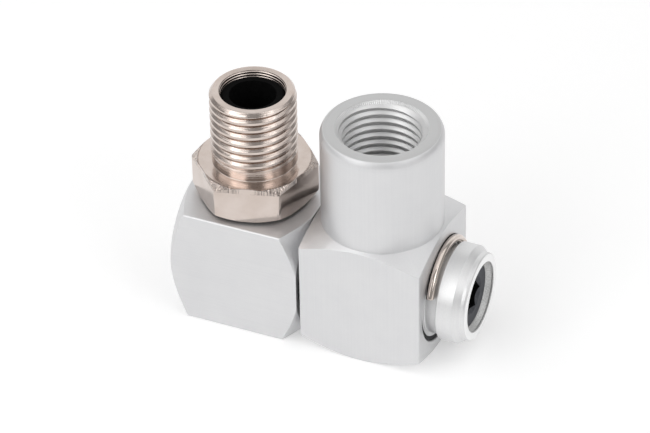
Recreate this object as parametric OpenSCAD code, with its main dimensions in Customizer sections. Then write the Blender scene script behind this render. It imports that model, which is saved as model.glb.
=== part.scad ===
// Swivel adapter for an air line, 1/4 inch male thread to 1/4 inch female thread.
// Two square blocks are joined end to end by a hollow spindle. The right block turns on the
// spindle, and the nickel-plated inlet fitting turns in the left block on a hollow bolt.
// Frame: X runs along the spindle, Z is up, and the origin is the centre of the outlet
// block's underside, below the outlet thread. All sizes are in millimetres.

/* [Blocks] */
// Width across the flats of the square bar that both blocks are cut from
bar_w = 19.5; // [18.5:0.1:24]
// Rounding along the four long edges of the bar
bar_edge_r = 0.3; // [0.1:0.05:0.8]
// Gap between the end faces of the two blocks
block_gap = 0.48; // [0.3:0.02:1.2]
// Play left beside a washer that something turns against
end_play = 0.04; // [0.02:0.01:0.1]
// Radial clearance of a fit that turns
running_gap = 0.05; // [0.02:0.01:0.08]
// Radial clearance of a fit that is screwed or pushed home
fixed_gap = 0.02; // [0.01:0.01:0.05]

/* [Inlet block] */
// Length of the inlet block along the spindle axis
inlet_block_l = 20.92; // [20:0.1:28]
// Distance from the block's right end to the inlet axis
inlet_inset = 10.62; // [10.2:0.05:12]
// Slope of the turned chamfer on the left end, from the end face
left_chamfer_a = 32; // [20:1:40]
// Radius of the flat left end face
left_face_r = 9.6; // [8:0.1:9.7]
// Slope of the turned chamfer on the right end, from the end face
right_chamfer_a = 36; // [20:1:42]
// Radius of the flat right end face
right_face_r = 10.14; // [9:0.05:11]
// Height of the floor of the chamber round the hollow bolt
chamber_floor = 6.2; // [5:0.1:6.5]

/* [Outlet block] */
// Height of the outlet block up to the foot of its neck
outlet_block_h = 20.56; // [20:0.1:26]
// Slope of the turned shoulder on top of the block
shoulder_a = 24.8; // [15:0.5:35]
// Slope of the turned chamfer under the block
foot_chamfer_a = 28; // [15:1:35]
// Radius of the flat underside
foot_r = 9.7; // [8.5:0.1:9.7]
// Diameter of the neck
neck_d = 18.6; // [17.5:0.1:19.4]
// Height of the neck above the block
neck_h = 16.5; // [14:0.5:24]
// Rounding on the outer rim of the neck
neck_rim_r = 0.6; // [0.2:0.1:1]
// Diameter at the root of the female thread
port_thread_d = 13.2; // [13.1:0.05:13.4]
// Depth of the female thread
port_thread_l = 12.5; // [10:0.5:14]
// Depth of the tapping drill below the female thread
port_runout = 1.3; // [0.8:0.1:2]
// Width of the countersink at the mouth of the female thread
port_mouth_d = 14.1; // [13.8:0.1:15]
// Diameter of the tapping drill, which leaves the crests of the female thread
port_drill_d = 11.5; // [11:0.1:11.8]
// Diameter of the passage from the female thread to the spindle
port_passage_d = 8; // [6:0.5:8]

/* [Spindle] */
// Diameter of the spindle where the outlet block turns on it
spindle_d = 15.2; // [14.6:0.1:15.6]
// Diameter of the threaded end in the inlet block
spindle_thread_d = 12; // [11.5:0.1:12.5]
// Diameter of the air passage along the spindle
spindle_bore_d = 8; // [6:0.5:8.4]
// Width of the groove under the outlet passage
port_groove_w = 8.6; // [8:0.1:8.8]
// Depth of the groove under the outlet passage
port_groove_depth = 1.8; // [1:0.1:2]
// Diameter of the holes from that groove into the air passage
cross_hole_d = 5; // [3:0.5:5.5]
// Distance from the outlet block's side to the middle of a seal groove
seal_inset = 3.85; // [3.65:0.05:4.05]
// Distance from the outlet block's side to the middle of a guide ring groove
guide_inset = 2; // [1.95:0.05:2.05]
// Width across the flats of the drive socket inside the spindle
spindle_key_w = 8.1; // [7:0.1:8.2]
// Depth of that drive socket
spindle_key_l = 4; // [3:0.5:4.5]

/* [Spindle flange] */
// Diameter of the flange outside the block
flange_d = 15.3; // [15:0.1:17]
// Distance from the block's side to the near face of the flange
flange_offset = 1.7; // [1.6:0.05:2.2]
// Width of the flange rim
flange_w = 2.59; // [2:0.1:4]
// Length of the bevel from the flange rim to the end ring
bevel_l = 0.98; // [0.6:0.1:1.6]
// Diameter of the end ring
end_ring_d = 13.74; // [13:0.1:14.4]
// Length of the end ring
end_ring_l = 0.84; // [0.7:0.05:1.6]
// Rounding on the end ring
end_ring_r = 0.35; // [0.1:0.05:0.6]
// Diameter of the mouth of the recess in the end face
recess_mouth_d = 11; // [10.8:0.1:11.6]
// Depth from the end face to the plug
recess_depth = 1.05; // [0.6:0.05:2]

/* [Spindle plug] */
// Diameter of the plug
plug_d = 10; // [9:0.1:10.2]
// Length of the plug
plug_l = 5.5; // [5:0.1:5.8]
// Width across the flats of the plug's socket
plug_key_w = 5.1; // [4:0.1:6]
// Depth of the plug's socket
plug_key_l = 3.2; // [2:0.1:3.5]
// Turn of the plug's socket about the spindle axis, in degrees
plug_turn = 21.4; // [0:0.1:60]

/* [Snap ring] */
// Diameter of the wire
wire_d = 1.25; // [0.8:0.05:1.3]
// Distance from the block's left groove wall back inside the counterbore
ring_groove_back = 0.29; // [0.2:0.01:0.5]
// Depth of the ring groove in the spindle
ring_groove_depth = 0.65; // [0.5:0.05:0.8]
// Play between the wire and the flange
ring_play = 0.25; // [0.05:0.05:0.4]
// Part of a turn that the ring covers, in degrees
ring_arc = 227; // [200:1:320]
// Turn of the ring's first end from straight down, in degrees
ring_start = 20; // [0:1:90]

/* [Seals and washers] */
// Radial depth of a seal groove
seal_depth = 1.15; // [1:0.05:1.2]
// Width of a seal groove
seal_groove_w = 1.7; // [1.6:0.05:1.8]
// Radial depth of a guide ring groove
guide_depth = 0.8; // [0.6:0.05:1]
// Width of a guide ring groove
guide_groove_w = 1.2; // [1.1:0.05:1.3]
// Width of the slit in a guide ring
guide_slit_w = 0.6; // [0.3:0.1:1]
// Diameter of the counterbore round the spindle
counterbore_d = 16.77; // [16.4:0.05:17.4]
// Depth of the counterbore round the spindle
counterbore_depth = 1.2; // [1.1:0.05:1.3]
// Thickness of the washer in that counterbore
outer_washer_t = 0.85; // [0.5:0.05:0.9]
// Diameter of the washer between the blocks
inner_washer_d = 18.2; // [16.5:0.1:19]
// Width of the seal seat under the spindle's shoulder
face_seal_d = 14.2; // [13.8:0.1:14.8]
// Depth of the seal seat under the spindle's shoulder
face_seal_depth = 0.9; // [0.7:0.05:1.1]

/* [Inlet fitting] */
// How much narrower than the bar the hexagon is across its flats
hex_inset = 2.5; // [1.5:0.5:3]
// Height of the hexagon
hex_h = 5.93; // [5:0.1:8]
// Turn of the hexagon about the inlet axis, in degrees
hex_turn = 15.3; // [0:0.1:60]
// Slope of the chamfer on top of the hexagon
hex_top_a = 30; // [20:1:35]
// Slope of the chamfer under the hexagon
hex_foot_a = 35; // [20:1:38]
// Gap between the inlet block and the hexagon
hex_gap = 0.65; // [0.5:0.05:1.2]
// Diameter over the crests of the male pipe thread
male_thread_d = 13.157; // [13:0.01:13.3]
// Length of the male thread
male_thread_l = 10.67; // [9:0.1:14]
// Bevel at the first turn of the male thread
male_thread_bevel = 0.5; // [0.3:0.05:0.8]
// How far the plain shank below the male thread lies inside the crests
shank_drop = 0.08; // [0.05:0.01:0.2]
// Length of the plain shank below the male thread
shank_l = 1.62; // [1:0.1:2.5]
// Diameter of the bore
fitting_bore_d = 9.66; // [9.4:0.02:9.8]
// Diameter of the bore's mouth
fitting_mouth_d = 10.14; // [10:0.02:10.6]
// Depth of the tapered mouth
fitting_mouth_l = 0.83; // [0.4:0.05:1.5]
// Diameter of the spigot that turns in the block
spigot_d = 12; // [11.6:0.1:12.2]
// Length of the spigot below the top of the block
spigot_l = 6.3; // [6:0.1:6.6]
// Height of the inner step above the underside of the hexagon
fitting_step_h = 2.85; // [2:0.05:4]
// Diameter of the washer under the hexagon
hex_washer_d = 15.2; // [14:0.1:16]

/* [Hollow bolt] */
// Diameter of the bolt's shank and thread
bolt_d = 8; // [7.6:0.1:8]
// Diameter of the bolt's air passage
bolt_bore_d = 5.4; // [4:0.1:5.6]
// Diameter of the passage in the bolt's sleeve
sleeve_bore_d = 7.2; // [7:0.1:7.6]
// Depth of the sleeve's rim below the rim of the fitting
sleeve_drop = 0.83; // [0.6:0.05:2]
// Thickness of the washer under the sleeve
stem_washer_t = 0.55; // [0.3:0.05:0.8]
// Width across the flats of the bolt's drive socket
bolt_key_w = 6; // [5:0.1:6.2]
// Depth of the bolt's drive socket
bolt_key_l = 3; // [2:0.1:4]
// Thickness of metal left under the bolt's blind thread
bolt_floor = 2.4; // [2:0.1:3]
// Diameter of the holes from the bolt into the chamber
bolt_hole_d = 4; // [3:0.1:4.2]
// Height of the seal above the sleeve's lower end
stem_seal_h = 3.2; // [2.5:0.1:5]
// Radial depth of the groove for the sleeve's seal
stem_seal_depth = 0.75; // [0.6:0.05:0.8]

/* [Pipe thread] */
// Distance from one turn of the thread to the next
thread_pitch = 1.337; // [1.2:0.001:1.45]
// Width of the crest left between two turns
thread_land = 0.25; // [0.15:0.05:0.35]
// Width of the root between two flanks
thread_root = 0.2; // [0.1:0.05:0.3]
// Angle of a flank from the thread's radius
thread_flank_a = 27.5; // [25:0.5:30]

/* [Hidden] */
$fn = 96;
// A cut runs this far past the face that it opens
over = 1;

// Pipe thread, drawn as a ring for each turn
crest_gap = thread_pitch - thread_land;
thread_depth = (crest_gap - thread_root) / 2 / tan(thread_flank_a);

// Blocks and axes
half_w = bar_w / 2;
corner_r = half_w * sqrt(2);
axis_z = half_w;
inlet_right = -half_w - block_gap;
inlet_left = inlet_right - inlet_block_l;
inlet_x = inlet_right - inlet_inset;
inlet_top = bar_w;
outlet_top = outlet_block_h + neck_h;

// Spindle and what it carries
spindle_r = spindle_d / 2;
cross_bore_r = spindle_r + running_gap;
seal_groove_x = half_w - seal_inset;
guide_groove_x = half_w - guide_inset;
chamber_r = spigot_d / 2 + running_gap;
stub_l = inlet_inset - chamber_r - 0.1;
stub_end = inlet_right - stub_l;
counterbore_x = half_w - counterbore_depth;
ring_groove_x = half_w - ring_groove_back;
flange_x = half_w + flange_offset;
bevel_x = flange_x + flange_w;
end_ring_x = bevel_x + bevel_l;
spindle_end = end_ring_x + end_ring_l;
plug_face = spindle_end - recess_depth;
plug_back = plug_face - plug_l;
plug_seal_w = 0.9;
plug_seat = plug_back - plug_seal_w;
ring_floor_r = spindle_r - ring_groove_depth;
ring_mid_r = ring_floor_r + wire_d / 2;
ring_x = flange_x - ring_play - wire_d / 2;

// Fitting and hollow bolt
hex_w = bar_w - hex_inset;
fitting_foot = inlet_top - spigot_l;
hex_z = inlet_top + hex_gap;
hex_top = hex_z + hex_h;
thread_z = hex_top + shank_l;
fitting_rim = thread_z + male_thread_l;
step_z = hex_z + fitting_step_h;
hex_corner_r = hex_w / sqrt(3);
sleeve_foot = step_z + stem_washer_t + end_play;
sleeve_top = fitting_rim - sleeve_drop;
sleeve_r = fitting_bore_d / 2 - running_gap;
spigot_bore_r = bolt_d / 2 + running_gap;
bolt_key_z = sleeve_foot + bolt_key_l;
spigot_seal_z = inlet_top - 2.6;
spigot_guide_z = fitting_foot + 1.3;
spigot_seal_depth = 1.15;

// Puts a shape that is turned about its own Z axis onto the spindle axis, starting at x
module on_spindle(x) {
    translate([x, 0, axis_z]) rotate([0, 90, 0]) children();
}

// Puts a shape that is turned about its own Z axis onto the inlet axis, starting at height z
module on_inlet(z) {
    translate([inlet_x, 0, z]) children();
}

// Section of the square bar, with its corners rounded
module bar_section() {
    inner = bar_w - 2 * bar_edge_r;
    square([inner, bar_w], center = true);
    square([bar_w, inner], center = true);
    for (sx = [-1, 1], sy = [-1, 1])
        translate([sx, sy] * inner / 2) circle(r = bar_edge_r, $fn = 32);
}

// Bar of length l whose two ends are turned to a chamfer, standing on its first end
module turned_bar(l, r1, a1, r2, a2) {
    out_r = corner_r + 0.5;
    intersection() {
        linear_extrude(l) bar_section();
        rotate_extrude()
            polygon([[0, 0], [r1, 0], [out_r, (out_r - r1) * tan(a1)],
                [out_r, l - (out_r - r2) * tan(a2)], [r2, l], [0, l]]);
    }
}

// Flat ring of a rectangular section
module washer(r_in, r_out, t) {
    difference() {
        cylinder(r = r_out, h = t);
        translate([0, 0, -over]) cylinder(r = r_in, h = t + 2 * over);
    }
}

// Seal that lies between two round walls, centred on its own plane
module o_ring(r_in, r_out) {
    rotate_extrude() translate([(r_in + r_out) / 2, 0]) circle(d = r_out - r_in, $fn = 32);
}

// Slide ring with a slit, centred on its own plane
module guide_ring(r_in, r_out, w) {
    difference() {
        translate([0, 0, -w / 2]) washer(r_in, r_out, w);
        translate([0, -guide_slit_w / 2, -w]) cube([r_out + over, guide_slit_w, 2 * w]);
    }
}

// Groove of width w round a shaft, centred on its own plane
module groove(r_floor, r_shaft, w) {
    translate([0, 0, -w / 2]) washer(r_floor, r_shaft + over, w);
}

// Stack of rings that cut a thread, from z = 0 up. A root that is smaller than the crest cuts
// a male thread, and one that is larger cuts a female thread.
module thread_rings(r_crest, r_root, count) {
    r_clear = r_crest + sign(r_crest - r_root) * over;
    for (k = [0 : count - 1])
        translate([0, 0, (k + 0.5) * thread_pitch]) rotate_extrude()
            polygon([[r_root, -thread_root / 2], [r_crest, -crest_gap / 2],
                [r_clear, -crest_gap / 2], [r_clear, crest_gap / 2], [r_crest, crest_gap / 2],
                [r_root, thread_root / 2]]);
}

// Six-sided hole, w across the flats
module key_socket(w, l) {
    cylinder(r = w / sqrt(3), h = l, $fn = 6);
}

module inlet_body() {
    color("silver") difference() {
        on_spindle(inlet_left)
            turned_bar(inlet_block_l, left_face_r, left_chamfer_a, right_face_r, right_chamfer_a);
        on_inlet(chamber_floor) cylinder(r = chamber_r, h = bar_w);
        on_inlet(bolt_floor) cylinder(r = bolt_d / 2 + fixed_gap, h = bar_w);
        on_spindle(inlet_x) cylinder(r = spindle_thread_d / 2 + fixed_gap, h = inlet_inset + over);
        on_spindle(inlet_right - face_seal_depth)
            cylinder(d = face_seal_d, h = face_seal_depth + over);
    }
}

module outlet_body() {
    passage_r = port_passage_d / 2;
    drill_r = port_drill_d / 2;
    thread_r = port_thread_d / 2;
    mouth_r = port_mouth_d / 2;
    thread_top = outlet_top - mouth_r + thread_r;
    turns = floor((thread_top - outlet_top + port_thread_l) / thread_pitch);
    drill_foot = outlet_top - port_thread_l - port_runout;
    neck_r = neck_d / 2;
    color("gainsboro") difference() {
        union() {
            turned_bar(outlet_block_h, foot_r, foot_chamfer_a, neck_r, shoulder_a);
            translate([0, 0, outlet_block_h - over]) cylinder(r = neck_r, h = neck_h - neck_rim_r + over);
            translate([0, 0, outlet_top - neck_rim_r]) rotate_extrude() {
                square([neck_r - neck_rim_r, neck_rim_r]);
                intersection() {
                    translate([neck_r - neck_rim_r, 0]) circle(r = neck_rim_r, $fn = 48);
                    square([neck_r, neck_rim_r]);
                }
            }
        }
        on_spindle(-half_w - over) cylinder(r = cross_bore_r, h = bar_w + 2 * over);
        on_spindle(counterbore_x) cylinder(d = counterbore_d, h = counterbore_depth + over);
        translate([0, 0, axis_z]) cylinder(r = passage_r, h = outlet_top);
        translate([0, 0, drill_foot - drill_r + passage_r])
            cylinder(r1 = passage_r, r2 = drill_r, h = drill_r - passage_r);
        translate([0, 0, drill_foot]) cylinder(r = drill_r, h = outlet_top);
        translate([0, 0, thread_top - turns * thread_pitch]) thread_rings(drill_r, thread_r, turns);
        translate([0, 0, outlet_top - mouth_r + drill_r])
            cylinder(r1 = drill_r, r2 = mouth_r + over, h = mouth_r - drill_r + over);
    }
}

// Outside of the spindle from its threaded end to its end ring, without the grooves
module spindle_blank() {
    stub_r = spindle_thread_d / 2;
    end_r = end_ring_d / 2;
    stub_bevel = 0.6;
    on_spindle(stub_end) rotate_extrude() union() {
        polygon([[0, 0], [stub_r - stub_bevel, 0], [stub_r, stub_bevel], [stub_r, stub_l],
            [spindle_r, stub_l], [spindle_r, flange_x - stub_end],
            [flange_d / 2, flange_x - stub_end], [flange_d / 2, bevel_x - stub_end],
            [end_r, end_ring_x - stub_end], [end_r, spindle_end - end_ring_r - stub_end],
            [end_r - end_ring_r, spindle_end - end_ring_r - stub_end],
            [end_r - end_ring_r, spindle_end - stub_end], [0, spindle_end - stub_end]]);
        translate([end_r - end_ring_r, spindle_end - end_ring_r - stub_end])
            circle(r = end_ring_r, $fn = 32);
    }
}

module spindle() {
    key_z = plug_seat - spindle_key_l;
    color("whitesmoke") difference() {
        spindle_blank();
        // Air passage, drive socket, plug thread and recess
        on_spindle(stub_end - over) cylinder(d = spindle_bore_d, h = spindle_end - stub_end);
        on_spindle(key_z) key_socket(spindle_key_w, spindle_key_l + over);
        on_spindle(plug_seat) cylinder(r = plug_d / 2 + fixed_gap, h = spindle_end - plug_seat);
        on_spindle(plug_face)
            cylinder(r1 = plug_d / 2 + 0.12, r2 = recess_mouth_d / 2, h = recess_depth);
        on_spindle(plug_face + recess_depth) cylinder(d = recess_mouth_d, h = over);
        // Port groove with its cross holes
        on_spindle(0) groove(spindle_r - port_groove_depth, spindle_r, port_groove_w);
        for (a = [0, 90])
            translate([0, 0, axis_z]) rotate([a, 0, 0])
                cylinder(d = cross_hole_d, h = 2 * spindle_r + over, center = true);
        // Grooves for the seals, the guide rings and the snap ring
        for (s = [-1, 1]) {
            on_spindle(s * seal_groove_x)
                groove(spindle_r - seal_depth, spindle_r, seal_groove_w);
            on_spindle(s * guide_groove_x)
                groove(spindle_r - guide_depth, spindle_r, guide_groove_w);
        }
        on_spindle((ring_groove_x + flange_x) / 2)
            groove(ring_floor_r, flange_d / 2, flange_x - ring_groove_x);
    }
}

module spindle_plug() {
    bevel = 0.3;
    r = plug_d / 2;
    color("dimgray") on_spindle(plug_back) difference() {
        rotate_extrude()
            polygon([[0, 0], [r - bevel, 0], [r, bevel], [r, plug_l - bevel],
                [r - bevel, plug_l], [0, plug_l]]);
        translate([0, 0, plug_l - plug_key_l]) rotate([0, 0, plug_turn])
            key_socket(plug_key_w, plug_key_l + over);
        translate([0, 0, plug_l - plug_key_l - 0.9])
            cylinder(r1 = 0, r2 = plug_key_w / 2, h = 0.9 + 0.01);
    }
}

module retaining_ring() {
    color("tan") on_spindle(ring_x) rotate([0, 0, ring_start])
        rotate_extrude(angle = ring_arc) translate([ring_mid_r, 0]) circle(d = wire_d, $fn = 32);
}

module outer_thrust_washer() {
    color("black") on_spindle(counterbore_x)
        washer(spindle_r + running_gap, counterbore_d / 2 - fixed_gap, outer_washer_t);
}

module inner_thrust_washer() {
    color("black") on_spindle(inlet_right)
        washer(spindle_r + running_gap, inner_washer_d / 2, block_gap - end_play);
}

module spindle_seal(x) {
    on_spindle(x) o_ring(spindle_r - seal_depth, cross_bore_r - running_gap / 2);
}

module left_spindle_seal() {
    color("black") spindle_seal(-seal_groove_x);
}

module right_spindle_seal() {
    color("black") spindle_seal(seal_groove_x);
}

module spindle_guide(x) {
    on_spindle(x) guide_ring(spindle_r - guide_depth, cross_bore_r - running_gap / 2,
        guide_groove_w - 2 * fixed_gap);
}

module left_guide_ring() {
    color("ivory") spindle_guide(-guide_groove_x);
}

module right_guide_ring() {
    color("ivory") spindle_guide(guide_groove_x);
}

module spindle_face_seal() {
    color("black") on_spindle(inlet_right - face_seal_depth / 2)
        o_ring(spindle_thread_d / 2 + fixed_gap, spindle_thread_d / 2 + fixed_gap + face_seal_depth);
}

module plug_seal() {
    color("black") on_spindle(plug_seat + plug_seal_w / 2)
        o_ring(plug_d / 2 - plug_seal_w, plug_d / 2);
}

module male_fitting() {
    thread_r = male_thread_d / 2;
    shank_r = thread_r - shank_drop;
    bore_r = fitting_bore_d / 2;
    out_r = hex_corner_r + 0.5;
    flat_r = hex_w / 2;
    turns = floor((male_thread_l - male_thread_bevel - thread_land / 2) / thread_pitch);
    thread_top = fitting_rim - male_thread_bevel - thread_land / 2;
    color("lightgray") difference() {
        union() {
            on_inlet(fitting_foot) cylinder(d = spigot_d, h = hex_z - fitting_foot + over);
            on_inlet(hex_z) intersection() {
                rotate([0, 0, hex_turn]) cylinder(r = hex_corner_r, h = hex_h, $fn = 6);
                rotate_extrude()
                    polygon([[0, 0], [flat_r, 0], [out_r, (out_r - flat_r) * tan(hex_foot_a)],
                        [out_r, hex_h - (out_r - flat_r) * tan(hex_top_a)], [flat_r, hex_h],
                        [0, hex_h]]);
            }
            on_inlet(hex_top - over) cylinder(r = shank_r, h = shank_l + 2 * over);
            on_inlet(thread_z) rotate_extrude()
                polygon([[0, 0], [shank_r, 0], [thread_r, shank_drop],
                    [thread_r, male_thread_l - male_thread_bevel],
                    [thread_r - male_thread_bevel, male_thread_l], [0, male_thread_l]]);
        }
        on_inlet(thread_top - turns * thread_pitch)
            thread_rings(thread_r, thread_r - thread_depth, turns);
        on_inlet(fitting_foot - over) cylinder(r = spigot_bore_r, h = fitting_rim);
        on_inlet(step_z) cylinder(r = bore_r, h = fitting_rim);
        on_inlet(fitting_rim - fitting_mouth_l)
            cylinder(r1 = bore_r, r2 = fitting_mouth_d / 2, h = fitting_mouth_l);
        on_inlet(fitting_rim) cylinder(d = fitting_mouth_d, h = over);
        on_inlet(spigot_seal_z)
            groove(spigot_d / 2 - spigot_seal_depth, spigot_d / 2, seal_groove_w);
        on_inlet(spigot_guide_z)
            groove(spigot_d / 2 - guide_depth, spigot_d / 2, guide_groove_w);
    }
}

module stem_bolt() {
    r = bolt_d / 2;
    rim_bevel = 0.3;
    color("black") difference() {
        on_inlet(bolt_floor) rotate_extrude()
            polygon([[0, 0], [r - 0.6, 0], [r, 0.6], [r, sleeve_foot - bolt_floor],
                [sleeve_r, sleeve_foot - bolt_floor],
                [sleeve_r, sleeve_top - rim_bevel - bolt_floor],
                [sleeve_r - rim_bevel, sleeve_top - bolt_floor], [0, sleeve_top - bolt_floor]]);
        on_inlet(chamber_floor) cylinder(d = bolt_bore_d, h = sleeve_top);
        on_inlet(sleeve_foot) key_socket(bolt_key_w, bolt_key_l + over);
        on_inlet(bolt_key_z) cylinder(d = sleeve_bore_d, h = sleeve_top);
        for (a = [0, 90])
            on_inlet(axis_z) rotate([0, 90, a])
                cylinder(d = bolt_hole_d, h = bolt_d + over, center = true);
        on_inlet(sleeve_foot + stem_seal_h + bolt_key_l)
            groove(sleeve_r - stem_seal_depth, sleeve_r, 1.1);
    }
}

module stem_washer() {
    color("ivory") on_inlet(step_z)
        washer(spigot_bore_r, fitting_bore_d / 2 - fixed_gap, stem_washer_t);
}

module stem_seal() {
    color("black") on_inlet(sleeve_foot + stem_seal_h + bolt_key_l)
        o_ring(sleeve_r - stem_seal_depth, fitting_bore_d / 2 - running_gap / 2);
}

module hex_thrust_washer() {
    color("black") on_inlet(inlet_top)
        washer(chamber_r, hex_washer_d / 2, hex_gap - end_play);
}

module spigot_seal() {
    color("black") on_inlet(spigot_seal_z)
        o_ring(spigot_d / 2 - spigot_seal_depth, chamber_r - running_gap / 2);
}

module spigot_guide_ring() {
    color("ivory") on_inlet(spigot_guide_z)
        guide_ring(spigot_d / 2 - guide_depth, chamber_r - running_gap / 2,
            guide_groove_w - 2 * fixed_gap);
}

inlet_body();
outlet_body();
spindle();
spindle_plug();
retaining_ring();
outer_thrust_washer();
inner_thrust_washer();
left_spindle_seal();
right_spindle_seal();
left_guide_ring();
right_guide_ring();
spindle_face_seal();
plug_seal();
male_fitting();
stem_bolt();
stem_washer();
stem_seal();
hex_thrust_washer();
spigot_seal();
spigot_guide_ring();
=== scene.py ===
import math

import bmesh
import bpy
import numpy as np
from mathutils import Matrix, Vector


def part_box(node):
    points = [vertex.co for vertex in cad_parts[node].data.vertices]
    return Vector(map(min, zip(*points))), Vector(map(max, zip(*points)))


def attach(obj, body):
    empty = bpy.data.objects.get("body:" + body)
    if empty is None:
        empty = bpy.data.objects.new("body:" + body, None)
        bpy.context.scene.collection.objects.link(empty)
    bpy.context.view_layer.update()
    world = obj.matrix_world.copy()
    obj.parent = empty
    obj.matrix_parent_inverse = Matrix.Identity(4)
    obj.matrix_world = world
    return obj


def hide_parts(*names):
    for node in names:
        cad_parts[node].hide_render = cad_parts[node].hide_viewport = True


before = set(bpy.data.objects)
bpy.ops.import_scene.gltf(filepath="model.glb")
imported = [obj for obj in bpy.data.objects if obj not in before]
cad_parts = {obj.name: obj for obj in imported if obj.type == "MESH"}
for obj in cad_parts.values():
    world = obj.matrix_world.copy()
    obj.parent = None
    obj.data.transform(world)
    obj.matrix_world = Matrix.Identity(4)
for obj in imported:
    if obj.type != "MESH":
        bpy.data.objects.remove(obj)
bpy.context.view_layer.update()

# All sizes here are in millimetres, and meshes and shaders take them times MM
MM = 0.001


def span(node):
    low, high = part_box(node)
    return np.array(low) / MM, np.array(high) / MM


outlet_low, outlet_high = span("outlet_body")
inlet_low, inlet_high = span("inlet_body")
fitting_low, fitting_high = span("male_fitting")
bolt_low, bolt_high = span("stem_bolt")
spindle_low, spindle_high = span("spindle")
plug_low, plug_high = span("spindle_plug")
ring_low, ring_high = span("retaining_ring")

HALF = (outlet_high[0] - outlet_low[0]) / 2
AXIS_Z = (inlet_low[2] + inlet_high[2]) / 2
INLET_X = (bolt_low[0] + bolt_high[0]) / 2

# Both blocks: the bar's long edges, the edges of the turned ends and how far a cutter runs past
BAR_EDGE = 0.3
BLOCK_ROUNDING = 0.12
OVER = 1.0
ROUND_STEPS = 192
ARC_STEPS = 4

# Outlet block
SHOULDER_Z = 20.56
SHOULDER_SLOPE = math.radians(24.8)
FOOT_SLOPE = math.radians(28)
FOOT_R = 9.7
NECK_R = 9.3
NECK_COVE = 0.2
NECK_RIM_W = 0.46
NECK_RIM_H = 0.85
NECK_RIM_FOOT = 1.4
NECK_RIM_HEAD = 0.5
PORT_ROOT_R = 6.6
PORT_MOUTH_R = 7.05
PORT_MOUTH_L = 0.4
PORT_MOUTH_EDGE = 0.06
PORT_DRILL_R = 5.75
PORT_DRILL_L = 1.3
PORT_PASSAGE_R = 4.0
PORT_THREAD_L = 12.5
PORT_RUN_OUT = 0.9
PORT_PHASE = 0.15
PORT_CHATTER = 140
CROSS_BORE_R = 7.65
CROSS_BORE_EDGE = 0.12
COUNTERBORE_R = 8.385
COUNTERBORE_DEPTH = 1.2

# Inlet block
LEFT_FACE_R = 9.6
LEFT_SLOPE = math.radians(32)
RIGHT_FACE_R = 10.14
RIGHT_SLOPE = math.radians(36)
CHAMBER_R = 6.05
CHAMBER_EDGE = 0.15
CHAMBER_FLOOR = 6.2
BOLT_HOLE_R = 4.02
BOLT_FLOOR = 2.4
SOCKET_R = 6.02
FACE_SEAL_R = 7.1
FACE_SEAL_DEPTH = 0.9

# Inlet fitting
HEX_FLAT_R = 8.5
HEX_LOW = 20.15
HEX_SKIRT = 0.25
HEX_SKIRT_R = 8.0
HEX_SKIRT_SLANT = 0.2
HEX_TOP = 26.08
HEX_TURN = math.radians(15.3)
HEX_EDGE = 0.7
HEX_ROUNDING = 0.1
HEX_TOP_SLOPE = math.radians(30)
HEX_FOOT_SLOPE = math.radians(35)
THREAD_LOW = 27.7
THREAD_R = 6.5785
THREAD_BEVEL = 0.5
THREAD_PHASE = 0.4
THREAD_RUN_OUT = 0.6
RIM_RUN_OUT = (0.3, 0.9)
SHANK_R = THREAD_R - 0.08
SHANK_COVE = 0.08
SHANK_LAND = 0.06
FITTING_BORE_R = 4.83
FITTING_MOUTH_R = 5.07
FITTING_MOUTH_L = 0.83
FITTING_STEP = 23.0
SPIGOT_R = 6.0
SPIGOT_EDGE = 0.3
SPIGOT_BORE_R = 4.05
SPIGOT_GUIDE = 1.3
SPIGOT_SEAL = 3.7

# Width and depth of the grooves for a slide ring and for an O-ring
GUIDE_GROOVE = (1.2, 0.8)
SEAL_GROOVE = (1.7, 1.15)
GROOVE_EDGE = 0.1

# Spindle, from the stub in the inlet block to its end ring
SPINDLE_R = 7.6
STUB_R = 6.0
STUB_TOP = -10.23
STUB_BEVEL = 0.6
SPINDLE_BORE_R = 4.0
PORT_GROOVE = (8.6, 1.8)
SEAL_X = 5.9
GUIDE_X = 7.75
CROSS_HOLE_R = 2.5
RING_GROOVE_X = 9.46
RING_FLOOR_R = 6.95
FLANGE_R = 7.65
FLANGE_X = 11.45
BEVEL_X = 14.04
END_RING_X = 15.02
END_RING_R = 6.87
END_RING_EDGE = 0.35
RECESS_R = 5.5
# The tool groove at the recess's mouth, as distance out from its wall and depth from the end
RECESS_CUT = ((-0.05, 0.12), (0.12, 0.21), (-0.08, 0.3))
RECESS_FOOT_R = 5.14
PLUG_BORE_R = 5.02
PLUG_BORE_BEVEL = 0.1
PLUG_SEAT_GAP = 0.9
KEY_FLAT_R = 4.05
KEY_EDGE = 0.1
KEY_L = 4.0

# Plug and snap ring
PLUG_BEVEL = 0.3
PLUG_TURN = math.radians(21.4)
PLUG_KEY_R = 2.55
PLUG_KEY_EDGE = 0.06
PLUG_KEY_L = 3.2
PLUG_DRILL_L = 4.1
PLUG_DISH_R = 4.2
PLUG_DISH_L = 0.02
PLUG_SINK_R = 3.05
PLUG_SINK_L = 0.1
PLUG_SINK_STEP = 0.05
PLUG_SINK_ROWS = 13
RING_START = math.radians(20)
RING_ARC = math.radians(227)
RING_SPRUNG = 0.15
RING_LIFT = 0.2
RING_TILT = math.radians(-2.3)
RING_END_EDGE = 0.14

# Pipe threads, half a turn of each from the middle of the crest to the root, as height, depth
# and rounding
PITCH = 1.337
THREAD_DEPTH = 0.7
THREAD_FORM = ((0.0, 0.0), (0.2, 0.0, 0.05), (0.56, 0.36, 0.06), (0.64, THREAD_DEPTH, 0.03),
               (PITCH / 2, THREAD_DEPTH))
PORT_FORM = ((0.0, 0.0), (0.14, 0.0, 0.03), (0.56, 0.4, 0.06), (0.62, 0.62, 0.03), (PITCH / 2, 0.62))


# Turned shapes whose outline may change with the angle
def even_angles(count):
    return np.arange(count) * 2 * math.pi / count


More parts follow.
